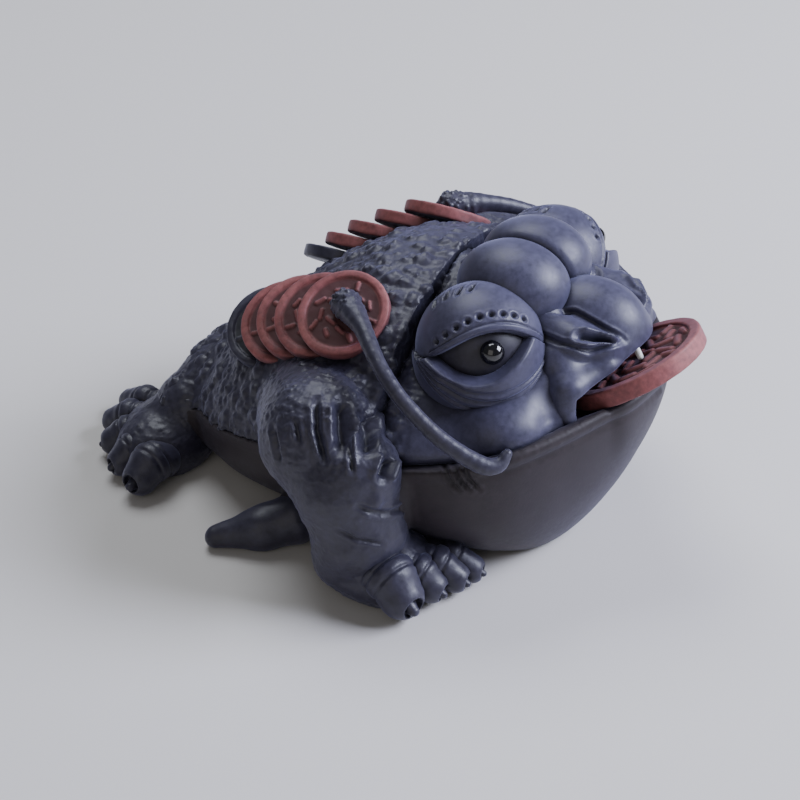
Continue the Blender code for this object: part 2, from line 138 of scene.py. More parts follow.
def right_half(p):
    """Coordinates folded onto the right side, so that one shape is made on both."""
    return -np.abs(p[0]), p[1], p[2]


def smooth_min(a, b, k):
    h = np.clip(0.5 + 0.5 * (b - a) / k, 0, 1)
    return b + (a - b) * h - k * h * (1 - h)


def smooth_max(a, b, k):
    return -smooth_min(-a, -b, k)


def ellipsoid(p, centre, radii):
    d = [p[i] - centre[i] for i in range(3)]
    near = np.sqrt(sum((d[i] / radii[i]) ** 2 for i in range(3)))
    slope = np.sqrt(sum((d[i] / radii[i] ** 2) ** 2 for i in range(3))) + 1e-6
    return near * (near - 1) / slope


def limb(p, points, radii, blend=1.5):
    """A chain of tapered capsules that melt into each other."""
    whole = None
    for a, b, ra, rb in zip(points, points[1:], radii, radii[1:]):
        a, along = np.array(a, float), np.array(b, float) - np.array(a, float)
        d = [p[i] - a[i] for i in range(3)]
        t = np.clip(sum(d[i] * along[i] for i in range(3)) / (along @ along), 0, 1)
        far = np.sqrt(sum((d[i] - t * along[i]) ** 2 for i in range(3))) - ra - t * (rb - ra)
        whole = far if whole is None else smooth_min(whole, far, blend)
    return whole


def spline_column(rows, y, column):
    """One column of cross-sections, as a smooth curve over y."""
    rows = np.array(rows)
    slopes = np.gradient(rows[:, column], rows[:, 0])
    i = np.clip(np.searchsorted(rows[:, 0], y) - 1, 0, len(rows) - 2)
    step = rows[i + 1, 0] - rows[i, 0]
    t = np.clip((y - rows[i, 0]) / step, 0, 1)
    a, b = rows[i, column], rows[i + 1, column]
    return (
        (2 * t**3 - 3 * t**2 + 1) * a + (t**3 - 2 * t**2 + t) * step * slopes[i]
        + (3 * t**2 - 2 * t**3) * b + (t**3 - t**2) * step * slopes[i + 1]
    )


def form(p, rows, peak, step):
    """A trunk through cross-sections, as a distance near its surface. Peak 2 is a round top half."""
    y = p[1].ravel()
    width, low, side, high = (spline_column(rows, y, c)[None, :, None] for c in (1, 2, 3, 4))
    rise = p[2] - side
    reach = np.where(rise > 0, high - side, side - low)
    power = np.where(rise > 0, peak, 2.0)
    width, reach = np.maximum(width, 0.3), np.maximum(reach, 0.3)
    value = ((np.abs(p[0]) / width) ** power + (np.abs(rise) / reach) ** power) ** (1 / power) - 1
    value = value * np.minimum(width, reach)
    beyond = np.maximum(rows[0][0] - p[1], p[1] - rows[-1][0])
    value = np.maximum(value, beyond + 0 * value).astype(np.float32)
    slope = np.sqrt(sum(g**2 for g in np.gradient(value, step)))
    return np.clip(value / np.maximum(slope, 0.3), -12, 12)


def seam(p):
    """Height above the sloped plane that parts the jaw and belly from all above them."""
    lean = math.atan(SEAM_SLOPE)
    return (p[2] - LIP_Z) * math.cos(lean) + (p[1] - FRONT_Y) * math.sin(lean)


def coin_room(p):
    """The loose coin and its way out of the mouth, grown by a margin."""
    d = [p[i] - COIN_CENTRE[i] for i in range(3)]
    up = d[1] * COIN_UP[1] + d[2] * COIN_UP[2]
    out = d[1] * COIN_OUT[1] + d[2] * COIN_OUT[2]
    across = np.sqrt(d[0] ** 2 + np.minimum(out, 0) ** 2) - (COIN_RADIUS + COIN_MARGIN)
    return np.maximum(across, np.abs(up) - (COIN_THICK / 2 + COIN_FACE_MARGIN))


def gape(p):
    """The open mouth above the lower lip: steep corners, and a roof that climbs towards the front."""
    lean = 1 / math.hypot(1, ROOF_SLOPE)
    roof = (p[2] - ROOF_Z + ROOF_SLOPE * (p[1] - ROOF_Y)) * lean
    sides = np.abs(p[0]) - MOUTH_HALF_WIDTH
    behind = p[1] - MOUTH_BACK_Y + 0 * p[0]
    return np.maximum(np.maximum(roof, sides), np.maximum(behind, -seam(p) - 3))


def mouth(p):
    """Room for the coin and the hollow behind it."""
    return np.minimum(coin_room(p), ellipsoid(p, THROAT, THROAT_RADII))


# ---- Meshes --------------------------------------------------------------------------------
def surface(field, low, step):
    """Vertices and quads of a field's zero surface."""
    cells = vdb.FloatGrid(3.0)
    cells.copyFromArray(np.ascontiguousarray(field, np.float32))
    points, quads = cells.convertToQuads()
    return np.asarray(points, float) * step + np.asarray(low, float), np.asarray(quads, np.int64)


def normals(points, quads):
    """Unit normal of each vertex, pointing out of the clay."""
    a, b = points[quads[:, 2]] - points[quads[:, 0]], points[quads[:, 3]] - points[quads[:, 1]]
    face = np.cross(a, b)
    total = np.stack(
        [np.bincount(quads.ravel(), np.repeat(face[:, k], 4), len(points)) for k in range(3)], 1
    )
    return total / (np.linalg.norm(total, axis=1, keepdims=True) + 1e-12)


def piece(name, points, quads, node, material, side=1, sunk=None):
    """A mesh object from millimetre vertices, riding with the body of the CAD node it shows.

    sunk is how deep each vertex lies in a coin's field, 0 to 1, and darkens the clay there as painted
    shade."""
    points = points * (side, 1, 1) + SHIFT
    points[:, 2] = np.maximum(points[:, 2], 0)
    if side < 0:
        quads = quads[:, ::-1]
    mesh = bpy.data.meshes.new(name)
    mesh.vertices.add(len(points))
    mesh.vertices.foreach_set("co", (points / 1000).astype(np.float32).ravel())
    mesh.loops.add(quads.size)
    mesh.loops.foreach_set("vertex_index", quads.astype(np.int32).ravel())
    mesh.polygons.add(len(quads))
    mesh.polygons.foreach_set("loop_start", np.arange(0, quads.size, 4, dtype=np.int32))
    mesh.update(calc_edges=True)
    if sunk is not None:
        mesh.attributes.new("sunk", "FLOAT", "POINT").data.foreach_set("value", sunk.astype(np.float32))
    mesh.shade_smooth()
    made = bpy.data.objects.new(name, mesh)
    bpy.context.scene.collection.objects.link(made)
    shown, slot = material
    mesh.materials.append(shown)
    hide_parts(node)
    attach(made, "coin" if node == "mouth_coin" else "toad")


def both_sides(name, points, quads, node, material):
    """The right piece, and the left one mirrored from it."""
    for side_name, side in SIDES:
        piece(f"{name}_{side_name}", points, quads, f"{node}_{side_name}", material, side)


# ---- Tooling marks -------------------------------------------------------------------------
def hashed(cell, seed):
    """A repeatable number from 0 to 1 for each cell of a lattice."""
    h = (cell[..., 0] * 73856093) ^ (cell[..., 1] * 19349663)
    h = h ^ (cell[..., 2] * 83492791) ^ (seed * 2654435)
    h = (h ^ (h >> 13)) * 1274126177
    return ((h ^ (h >> 16)) & 0xFFFF) / 65535.0


def pebbles(points, size, seed):
    """Height 0 to 1 of rounded grains scattered one to a cell."""
    q = points / size
    base = np.floor(q).astype(np.int64)
    best = np.zeros(len(points))
    for dx in (-1, 0, 1):
        for dy in (-1, 0, 1):
            for dz in (-1, 0, 1):
                cell = base + (dx, dy, dz)
                spot = cell + 0.15 + 0.7 * np.stack([hashed(cell, seed + k) for k in range(3)], 1)
                radius = 0.32 + 0.30 * hashed(cell, seed + 7)
                far = np.linalg.norm(q - spot, axis=1) / radius
                grain = np.clip(1 - far**2, 0, 1) * (0.5 + 0.5 * hashed(cell, seed + 9))
                best = np.maximum(best, grain)
    return best


def ripple(points, size, seed):
    """Smooth noise between -1 and 1."""
    q = points / size
    base = np.floor(q).astype(np.int64)
    t = q - base
    t = t * t * (3 - 2 * t)
    total = 0
    for corner in range(8):
        step = np.array((corner & 1, corner >> 1 & 1, corner >> 2))
        weight = np.prod(np.where(step, t, 1 - t), axis=1)
        total = total + weight * hashed(base + step, seed)
    return 2 * total - 1


def to_path(points, path):
    """Distance to a polyline, and how far along it the nearest place is, 0 to 1."""
    path = [np.array(p, float) for p in path]
    best = np.full(len(points), 1e9)
    where = np.zeros(len(points))
    for k, (a, b) in enumerate(zip(path, path[1:])):
        along = b - a
        t = np.clip((points - a) @ along / (along @ along), 0, 1)
        far = np.linalg.norm(points - a - t[:, None] * along, axis=1)
        nearer = far < best
        best = np.where(nearer, far, best)
        where = np.where(nearer, (k + t) / (len(path) - 1), where)
    return best, where


def bell(value, width):
    return np.exp(-((value / width) ** 2))


def folded(points, outward):
    """Points and their normals as they would lie on the right side."""
    fold = np.where(points[:, :1] > 0, (-1, 1, 1), (1, 1, 1))
    return points * fold, outward * fold


def groove(points, path, width, depth):
    """A gouged line that fades at its ends, with a little clay raised beside it."""
    far, where = to_path(points, path)
    fade = np.clip(4 * where, 0.15, 1) * np.clip(4 * (1 - where), 0.15, 1)
    return fade * depth * (0.25 * bell(far - 1.7 * width, 0.7 * width) - bell(far, width))


def pressed(points, outward, path, width, depth, toward, lip, taper=0.0):
    """A gouge that ignores depth along one direction, so it follows the surface that faces that way."""
    toward = np.array(toward, float) / np.linalg.norm(toward)
    flat = points - (points @ toward)[:, None] * toward
    path = [np.array(p, float) - (np.array(p, float) @ toward) * toward for p in path]
    far, where = to_path(flat, path)
    wide = width * (1 - taper * where)
    fade = np.clip(5 * where + 0.25, 0, 1) * np.clip(5 * (1 - where) + 0.25, 0, 1)
    facing = np.clip(3 * (outward @ toward), 0, 1)
    return facing * fade * depth * (lip * bell(far - 1.7 * wide, 0.7 * wide) - bell(far, wide))


def worked(points, quads, height):
    """Vertices moved along their normals."""
    return points + normals(points, quads) * height[:, None]


# ---- Materials -----------------------------------------------------------------------------
def clay(name, slot, dark, light, roughness, grain, sheen=0.0, gloss=0.5, crease_shade_reach=0.0012):
    """A clay material and its slot: two close colours in patches, fine grain, a burnish that varies,
    and painted shade in creases, from an occlusion node, and in the sunk fields of coins."""
    material = bpy.data.materials.new(name)
    material.use_nodes = True
    tree = material.node_tree
    shader = tree.nodes["Principled BSDF"]
    place = tree.nodes.new("ShaderNodeTexCoord")

    def noise(scale, detail):
        made = tree.nodes.new("ShaderNodeTexNoise")
        made.inputs["Scale"].default_value = scale
        made.inputs["Detail"].default_value = detail
        made.inputs["Roughness"].default_value = 0.6
        tree.links.new(place.outputs["Object"], made.inputs["Vector"])
        return made.outputs["Fac"]

    def spread(source, low, high, to_low, to_high):
        made = tree.nodes.new("ShaderNodeMapRange")
        values = (low, high, to_low, to_high)
        for socket, value in zip(("From Min", "From Max", "To Min", "To Max"), values):
            made.inputs[socket].default_value = value
        tree.links.new(source, made.inputs["Value"])
        return made.outputs["Result"]

    def blend(factor, first, second):
        """A mix of two colours, each a tuple or the output of a node."""
        made = tree.nodes.new("ShaderNodeMix")
        made.data_type = "RGBA"
        tree.links.new(factor, made.inputs[0])
        for socket, colour in ((made.inputs[6], first), (made.inputs[7], second)):
            if isinstance(colour, tuple):
                socket.default_value = (*colour, 1)
            else:
                tree.links.new(colour, socket)
        return made.outputs[2]

    def darker(share):
        return tuple(c * share for c in dark)

    patches, grains, specks = noise(110, 3), noise(2300, 2), noise(900, 4)
    tone = tree.nodes.new("ShaderNodeHueSaturation")
    tree.links.new(blend(spread(patches, 0.35, 0.65, 0, 1), dark, light), tone.inputs["Color"])
    tree.links.new(spread(specks, 0.3, 0.75, 0.75, 1.35), tone.inputs["Value"])
    sunk = tree.nodes.new("ShaderNodeAttribute")
    sunk.attribute_name = "sunk"
    # painted shade in the sunk fields of coins, read from the sunk attribute
    colour = blend(sunk.outputs["Fac"], tone.outputs["Color"], darker(0.34))
    # painted shade: the clay darkens where an occlusion node finds other clay close by, in creases and
    # between parts
    crease = tree.nodes.new("ShaderNodeAmbientOcclusion")
    crease.samples = 6
    crease.inputs["Distance"].default_value = crease_shade_reach
    colour = blend(spread(crease.outputs["AO"], 0.35, 0.95, 0, 1), darker(0.22), colour)
    tree.links.new(colour, shader.inputs["Base Color"])
    burnish = spread(specks, 0.3, 0.7, roughness - 0.06, roughness + 0.08)
    tree.links.new(burnish, shader.inputs["Roughness"])
    shader.inputs["Specular IOR Level"].default_value = gloss
    shader.inputs["Sheen Weight"].default_value = sheen
    shader.inputs["Sheen Roughness"].default_value = 0.45
    shader.inputs["Sheen Tint"].default_value = (0.62, 0.64, 1.0, 1)
    bump = tree.nodes.new("ShaderNodeBump")
    bump.inputs["Strength"].default_value = 1.0
    bump.inputs["Distance"].default_value = grain / 1000
    tree.links.new(grains, bump.inputs["Height"])
    tree.links.new(bump.outputs["Normal"], shader.inputs["Normal"])
    return material, slot


# name, slot, darker and lighter colour, roughness, grain in mm, sheen, gloss, reach of the painted crease
# shade
HEAD_CLAY = clay(
    "burnished_zisha", "purple_clay",
    (0.036, 0.034, 0.062), (0.048, 0.046, 0.082), 0.44, 0.012, 0.30, 0.45,
)
BODY_CLAY = clay(
    "rough_zisha", "purple_clay",
    (0.020, 0.018, 0.032), (0.029, 0.027, 0.046), 0.44, 0.030, 0.20, 0.5,
)
JAW_CLAY = clay(
    "plain_zisha", "purple_clay",
    (0.023, 0.017, 0.019), (0.030, 0.023, 0.026), 0.56, 0.020, 0.08, 0.32,
)
RED_CLAY = clay(
    "red_zisha", "red_clay",
    (0.205, 0.060, 0.060), (0.270, 0.090, 0.085), 0.60, 0.025, 0.12, 0.4, 0.0022,
)
EYE_CLAY = clay(
    "dark_zisha", "purple_clay",
    (0.020, 0.018, 0.027), (0.027, 0.024, 0.036), 0.44, 0.008, 0.15, 0.4,
)
WHITE_CLAY = clay("white_peg", "white_clay", (0.66, 0.68, 0.62), (0.80, 0.81, 0.77), 0.35, 0.010)
BEAD = clay(
    "black_bead", "black_glaze",
    (0.002, 0.002, 0.003), (0.005, 0.005, 0.007), 0.10, 0.0, 0.0, 0.9,
)


# ---- Body ----------------------------------------------------------------------------------
BODY_STEP = 0.4
BODY_LOW, BODY_HIGH = (-43.2, -58.4, -0.8), (43.2, 45.2, 54)
VENT, VENT_RADII = ((0, 2, -5), (0, 2, 9)), (5, 5)
LIP_ROLL = 0.9

# gouges down the right forearm: path, width and depth, with the three deep ones first
ARM_GOUGES = (
    (((-38.9, -9.2, 38.6), (-42.1, -10.9, 36.1), (-44.6, -12.4, 32.6)), 1.15, 1.7),
    (((-36.4, -13.0, 35.4), (-38.6, -14.4, 33.8), (-41.7, -15.5, 31.6)), 1.15, 1.7),
    (((-38.6, -18.6, 29.8), (-40.6, -19.0, 29.1), (-43.0, -19.2, 28.2)), 0.95, 1.8),
    (((-40.4, -5.0, 38.6), (-44.6, -7.4, 35.4), (-46.6, -10.0, 31.0)), 0.60, 0.90),
    (((-44.4, -3.0, 36.0), (-46.8, -5.0, 33.4)), 0.45, 0.55),
    (((-45.2, 1.2, 34.0), (-48.0, -1.6, 29.0)), 0.50, 0.60),
    (((-43.0, -13.0, 33.6), (-45.2, -14.6, 29.4)), 0.42, 0.55),
    (((-47.4, -16.8, 24.0), (-44.6, -20.2, 21.6), (-40.4, -22.2, 20.4)), 0.60, 0.55),
    (((-49.4, -13.6, 19.4), (-48.6, -17.0, 17.6), (-45.4, -20.6, 15.8)), 0.40, 0.35),
)
ARM_FACES = (-0.78, -0.42, 0.46)
ELBOW_PINCH = (-45.6, -19.4, 24.8)
JAW_CRESCENT = ((-34.2, -26.6, 29.0), (-36.6, -29.0, 27.4), (-36.7, -31.6, 25.0))


def body_fields():
    """Fields of the jaw with the belly, and of the back: the same body on either side of the seam."""
    p = grid(BODY_LOW, BODY_HIGH, BODY_STEP)
    trunk = form(p, TRUNK, 2.0, BODY_STEP)
    body = smooth_min(trunk, limb(right_half(p), FORELEG, FORELEG_RADII, 2), 3.0)
    body = smooth_min(body, limb(right_half(p), FLANK_TOE, FLANK_TOE_RADII, 2), 2.5)
    body = smooth_min(body, limb(p, HIND_LEG, HIND_LEG_RADII, 2), 3.0)
    body = np.maximum(body, trunk - 2.6)
    above = seam(p)
    # the lower lip rolls a little above the seam all round the front, just outside the face
    rim = np.abs(trunk + 1.05) - 0.95
    rim = np.maximum(rim, above - LIP_ROLL * np.clip((-29 - p[1]) / 5, 0, 1))
    jaw = smooth_max(body, above, 0.3)
    jaw = smooth_min(jaw, np.maximum(rim, -above - 1.5), 0.8)
    jaw = smooth_max(jaw, -p[2], 1.2)
    jaw = smooth_max(jaw, -mouth(p), 0.8)
    jaw = smooth_max(jaw, -limb(p, VENT, VENT_RADII), 0.8)
    back = smooth_max(np.maximum(body, -above), NECK_Y - p[1], 0.8)
    return jaw, back


def back_marks(points):
    """Warts with grains of two sizes among them."""
    warts = pebbles(points, 3.6, 11) ** 0.8
    grains = pebbles(points, 1.7, 23)
    fine = pebbles(points, 0.95, 31)
    return 0.85 * warts + 0.42 * grains + 0.16 * fine - 0.35


def arm_marks(points, quads):
    """Stipple that is strongest on the shoulder, slow ripples, and gouges down the arm."""
    near, outward = folded(points, normals(points, quads))
    shoulder = np.clip((points[:, 2] - 27) / 9, 0, 1)
    stipple = 0.34 * pebbles(points, 1.5, 41) + 0.16 * pebbles(points, 0.9, 47)
    height = (0.35 + 0.65 * shoulder) * stipple
    along = points @ np.array(((1, 0, 0), (0, 1, 0), (0.25, 0.35, 0.5)))
    height = height + (0.20 - 0.10 * shoulder) * ripple(along, 2.2, 5)
    for path, width, depth in ARM_GOUGES:
        height = height + pressed(near, outward, path, width, depth, ARM_FACES, 0.5)
    return height + 0.8 * bell(np.linalg.norm(near - ELBOW_PINCH, axis=1), 1.3)


def jaw_bowl(field):
    points, quads = surface(field, BODY_LOW, BODY_STEP)
    below = -seam(points.T)
    front = np.clip((-33 - points[:, 1]) / 6, 0, 1) * (np.abs(points[:, 2]) > 2)
    height = front * (0.34 * bell(below - 0.1, 0.9) - 0.30 * bell(below - 2.3, 0.7))
    near, outward = folded(points, normals(points, quads))
    # three nested crescents under the end of each cord
    for k in range(3):
        path = np.array(JAW_CRESCENT) + np.array((0.2, -1.9, 0.3)) * k
        height = height + pressed(near, outward, path, 0.42, 0.55, (-0.8, -0.5, 0.3), 0.6)
    points = worked(points, quads, height + 0.05 * ripple(points, 5, 3))
    piece("jaw_bowl", points, quads, "belly_shell", JAW_CLAY)


def warty_back(field):
    points, quads = surface(field, BODY_LOW, BODY_STEP)
    arm_share = np.clip((np.abs(points[:, 0]) - 34) / 3, 0, 1)
    height = (1 - arm_share) * back_marks(points) + arm_share * arm_marks(points, quads)
    piece("warty_back", worked(points, quads, height), quads, "back_shell", BODY_CLAY)


# ---- Face ----------------------------------------------------------------------------------
FACE_STEP = 0.36
FACE_LOW, FACE_HIGH = (-40.2, -52.2, 22), (40.2, NECK_Y + 1.5, 54)
SOCKET_RADIUS = 11.9
CHEEK, CHEEK_RADII = (-24.0, -33.8, 33.2), (8.2, 7.6, 5.4)
HOLLOW, HOLLOW_RADII = ((-19.5, -43.0, 44.5), (-22.6, -44.2, 39.5), (-23.4, -44.6, 36.4)), (2.2, 2.8, 2.4)

MUZZLE_STEP = 0.25
MUZZLE_LOW, MUZZLE_HIGH = (-21, -54, 31), (21, -27, 56)
NOSE, NOSE_RADII = (0, -40.5, 42.0), (9.2, 11.4, 9.3)
NOSE_PAD = ((-8.6, -33.4, 45.6), (-10.4, -41.2, 43.6), (-7.6, -46.0, 42.6), (-2.4, -49.8, 42.2))
NOSE_PAD_RADII = (4.2, 4.1, 3.3, 1.5)
LIP = ((0, -49.6, 41.8), (-9.5, -47.4, 40.2), (-16.8, -44.0, 38.4), (-18.6, -43.4, 35.4))
LIP_RADII = (1.5, 2.4, 1.9, 1.2)
SKIRT = ((-3.0, -43.0, 40.0), (-12.6, -39.6, 40.2), (-16.6, -42.4, 37.8), (-18.7, -44.2, 33.5))
SKIRT_RADII = (5.5, 4.8, 2.9, 1.9)
NOSTRIL = ((-12.3, -42.9, 46.7), (-8.0, -48.4, 44.9))
FOLDS = (
    (((-11.5, -37.0, 50.0), (-6.9, -40.0, 48.3), (-7.0, -46.4, 46.3), (-6.3, -49.2, 45.0)), 0.45, 0.55),
    (((-16.0, -36.5, 48.5), (-14.3, -40.3, 45.9), (-13.1, -45.6, 45.0), (-6.3, -49.6, 44.5)), 0.50, 0.60),
)
NOSE_FACES = (-0.70, -0.42, 0.58)

BROW_STEP = 0.3
BROW_LOW, BROW_HIGH = (-24, -42, 36), (1, -12, 60)
BROW, BROW_RADII = (-5.2, -27.2, 49.9), (9.4, 10.6, 8.3)


def face():
    """The shell of the head with its eye sockets and cheeks, above the seam and ahead of the neck."""
    p = grid(FACE_LOW, FACE_HIGH, FACE_STEP)
    right = right_half(p)
    field = form(p, FACE, 1.2, FACE_STEP)
    field = smooth_min(field, ellipsoid(right, CHEEK, CHEEK_RADII), 3.0)
    field = smooth_max(field, -limb(right, HOLLOW, HOLLOW_RADII), 3.2)
    from_eye = np.sqrt(sum((right[i] - EYE[i]) ** 2 for i in range(3)))
    field = smooth_max(field, SOCKET_RADIUS - from_eye, 0.4)
    field = smooth_max(field, -gape(p), 0.5)
    field = smooth_max(field, -mouth(p), 0.6)
    field = smooth_max(field, -seam(p) + 0.1, 0.5)
    field = np.maximum(field, p[1] - NECK_Y)
    points, quads = surface(field, FACE_LOW, FACE_STEP)
    nape = np.clip((points[:, 1] + 22) / 5, 0, 1)
    height = 0.05 * ripple(points, 4, 9) + nape * (back_marks(points) + 0.2)
    piece("face", worked(points, quads, height), quads, "head_shell", HEAD_CLAY)


def muzzle():
    """The nose over the upper lip, with a nostril and two folds on each side."""
    p = grid(MUZZLE_LOW, MUZZLE_HIGH, MUZZLE_STEP)
    right = right_half(p)
    nose = smooth_min(ellipsoid(p, NOSE, NOSE_RADII), limb(right, SKIRT, SKIRT_RADII), 2.0)
    field = smooth_min(nose, limb(right, LIP, LIP_RADII), 3.0)
    field = smooth_min(field, limb(right, NOSE_PAD, NOSE_PAD_RADII), 0.5)
    field = smooth_max(field, -gape(p), 0.4)
    field = smooth_max(field, -coin_room(p), 0.4)
    field = smooth_max(field, -seam(p) + 0.1, 0.4)
    points, quads = surface(field, MUZZLE_LOW, MUZZLE_STEP)
    near, outward = folded(points, normals(points, quads))
    height = 0.04 * ripple(points, 4, 9)
    height = height + pressed(near, outward, NOSTRIL, 0.85, 1.5, NOSE_FACES, 0.7, 0.7)
    for path, width, depth in FOLDS:
        height = height + pressed(near, outward, path, width, depth, NOSE_FACES, 0.3)
    piece("muzzle_clay", worked(points, quads, height), quads, "muzzle", HEAD_CLAY)


def brow_knobs():
    """Two knobs that meet at the middle plane."""
    p = grid(BROW_LOW, BROW_HIGH, BROW_STEP)
    field = smooth_max(ellipsoid(p, BROW, BROW_RADII), p[0] + 0.1, 1.6)
    points, quads = surface(field, BROW_LOW, BROW_STEP)
    both_sides("brow_knob", worked(points, quads, 0.05 * ripple(points, 5, 2)), quads, "brow", HEAD_CLAY)


# ---- Eyes ----------------------------------------------------------------------------------
# Angles on the eye are from the gaze: to the side, towards the nose, and up.
EYE_STEP = 0.22
EYE_LOW, EYE_HIGH = EYE - 13, EYE + 13
OUTER = np.cross((0, 0, 1), GAZE)
OUTER = OUTER / np.linalg.norm(OUTER)
UPWARD = np.cross(GAZE, OUTER)
BEAD_RADIUS, BEAD_OUT = 2.2, 0.2
BAG_SHIFT, BAG_RADIUS = (-1.2, -0.4, -1.1), 12.1
LID_NICKS = ((-46, 74), (-34, 71), (-23, 67), (-12, 66))
BAG_CREASES = ((33, 0.30), (41, 0.34), (50, 0.24))


def on_eye(lateral, lift):
    """Unit vector at two angles from the gaze, in degrees."""
    lateral, lift = math.radians(lateral), math.radians(lift)
    ahead = math.sin(lift) * UPWARD + math.cos(lift) * GAZE
    return math.sin(lateral) * OUTER + math.cos(lateral) * ahead


def eye_angles(points):
    """Side angle and lift of points, in degrees."""
    d = (points - EYE) / np.linalg.norm(points - EYE, axis=1, keepdims=True)
    lateral = np.degrees(np.arcsin(np.clip(d @ OUTER, -1, 1)))
    return lateral, np.degrees(np.arctan2(d @ UPWARD, d @ GAZE))


def eye_fields():
    """Fields of the upper lid, the lower lid, the eyeball and the bead."""
    p = grid(EYE_LOW, EYE_HIGH, EYE_STEP)
    d = [p[i] - EYE[i] for i in range(3)]
    ahead, up, outer = (sum(d[i] * axis[i] for i in range(3)) for axis in (GAZE, UPWARD, OUTER))
    far = np.sqrt(sum(c**2 for c in d))
    lateral = np.degrees(np.arcsin(np.clip(outer / (far + 1e-6), -1, 1)))
    lift = np.degrees(np.arctan2(up, ahead))
    # two arches in these angles bound the almond of the open eye
    upper_edge = 20 - 0.0053 * (lateral - 5) ** 2
    lower_edge = np.minimum(-26 + 0.0100 * (lateral + 20) ** 2, upper_edge - 0.5)
    hollow = BALL_RADIUS - 0.3 - far
    shell = smooth_max(far - LID_RADIUS, hollow, 0.5)
    over = np.where(lift < -140, lift + 360, lift)
    upper = smooth_max(shell, np.radians(over - upper_edge) * -far, 0.6)
    bag = np.sqrt(sum((d[i] - BAG_SHIFT[i]) ** 2 for i in range(3))) - BAG_RADIUS
    lower = smooth_max(smooth_max(bag, hollow, 0.5), np.radians(lift - lower_edge) * far, 0.6)
    lower = np.maximum(lower, -ahead - 7)
    bead_out = BALL_RADIUS + BEAD_OUT
    bead = np.sqrt(sum((d[i] - GAZE[i] * bead_out) ** 2 for i in range(3))) - BEAD_RADIUS
    return upper, lower, far - BALL_RADIUS, bead


def upper_lid_marks(points):
    """A row of pricked dots above a crease along the edge, and nicks towards the top."""
    lateral, lift = eye_angles(points)
    outside = np.linalg.norm(points - EYE, axis=1) > LID_RADIUS - 0.6
    bend = lift - (27 - 0.0044 * (lateral - 8) ** 2)
    height = outside * (np.abs(lateral) < 62) * (0.12 * bell(bend + 3, 1.4) - 0.28 * bell(bend, 1.1))
    for at in np.linspace(-52, 34, 9):
        dot = EYE + on_eye(at, 35 - 0.0044 * (at - 8) ** 2) * LID_RADIUS
        near = np.linalg.norm(points - dot, axis=1)
        height = height - 0.85 * bell(near, 0.48) + 0.10 * bell(near - 0.9, 0.3)
    for at in LID_NICKS:
        start = on_eye(*at)
        end = start + 0.10 * UPWARD - 0.22 * GAZE + 0.16 * OUTER
        height = height + groove(points, (EYE + start * LID_RADIUS, EYE + end * LID_RADIUS), 0.42, 0.9)
    return height


def lower_lid_marks(points):
    """Creases that follow the lid's edge, each with a soft roll under it."""
    lateral, lift = eye_angles(points)
    outside = np.linalg.norm(points - EYE, axis=1) > LID_RADIUS - 0.6
    height = 0 * lift
    for angle, depth in BAG_CREASES:
        bend = -lift - angle + 0.004 * lateral**2
        height = height + outside * depth * (0.5 * bell(bend - 3.2, 2.0) - bell(bend, 1.5))
    return height


def eyes():
    upper, lower, ball, bead = eye_fields()
    eye_pieces = (
        ("upper_lid_clay", upper, upper_lid_marks, "upper_lid", HEAD_CLAY),
        ("lower_lid_clay", lower, lower_lid_marks, "lower_lid", HEAD_CLAY),
        ("eyeball_clay", ball, None, "eyeball", EYE_CLAY),
    )
    for name, field, marks, node, material in eye_pieces:
        points, quads = surface(field, EYE_LOW, EYE_STEP)
        height = 0.03 * ripple(points, 3, 8)
        if marks:
            height = height + marks(points)
        both_sides(name, worked(points, quads, height), quads, node, material)
    both_sides("bead", *surface(bead, EYE_LOW, EYE_STEP), "pupil", BEAD)


# ---- Mouth and coins -----------------------------------------------------------------------
TOOTH, TOOTH_RADII, TOOTH_STEP = ((-3.2, -49.6, 43.6), (-3.6, -51.9, 40.3)), (0.70, 0.58), 0.1
TOOTH_LOW, TOOTH_HIGH = (-5, -54, 37), (0, -46, 46)
TONGUE, TONGUE_RADII, TONGUE_STEP = (0, -45.5, 28.5), (9.5, 6.5, 4.0), 0.4
TONGUE_LOW, TONGUE_HIGH = (-12, -54, 22), (12, -36, 35)
STRING_COIN_RADIUS, STRING_COIN_THICK = 8.75, 2.5
COINS_PER_STRING = 4


def tooth_and_tongue():
    p = grid(TOOTH_LOW, TOOTH_HIGH, TOOTH_STEP)
    points, quads = surface(limb(p, TOOTH, TOOTH_RADII), TOOTH_LOW, TOOTH_STEP)
    piece("tooth_peg", points, quads, "tooth", WHITE_CLAY)
    p = grid(TONGUE_LOW, TONGUE_HIGH, TONGUE_STEP)
    field = smooth_max(ellipsoid(p, TONGUE, TONGUE_RADII), -coin_room(p), 0.4)
    points, quads = surface(field, TONGUE_LOW, TONGUE_STEP)
    piece("tongue_pad", points, quads, "tongue", JAW_CLAY)


def strokes(count, reach, seed):
    """Worn, meaningless strokes spread evenly over a disc, as a height from 0 to 1."""
    rng = np.random.default_rng(seed)
    marks = []
    for k in range(count):
        angle = 2.4 * k
        out = reach * 0.95 * math.sqrt((k + 0.4) / count)
        middle = np.array((math.cos(angle), math.sin(angle))) * out
        turn = angle + rng.choice((0.0, 0.5, 1.0)) * math.pi / 2 + rng.uniform(-0.3, 0.3)
        half = np.array((math.cos(turn), math.sin(turn))) * reach * rng.uniform(0.09, 0.17)
        marks.append((middle - half, middle + half))

    def relief(points):
        best = np.zeros(len(points))
        for mark in marks:
            far, _ = to_path(points[:, :2], mark)
            best = np.maximum(best, np.sqrt(np.clip(1 - (far / (reach * 0.075)) ** 2, 0, 1)))
        return best

    return relief


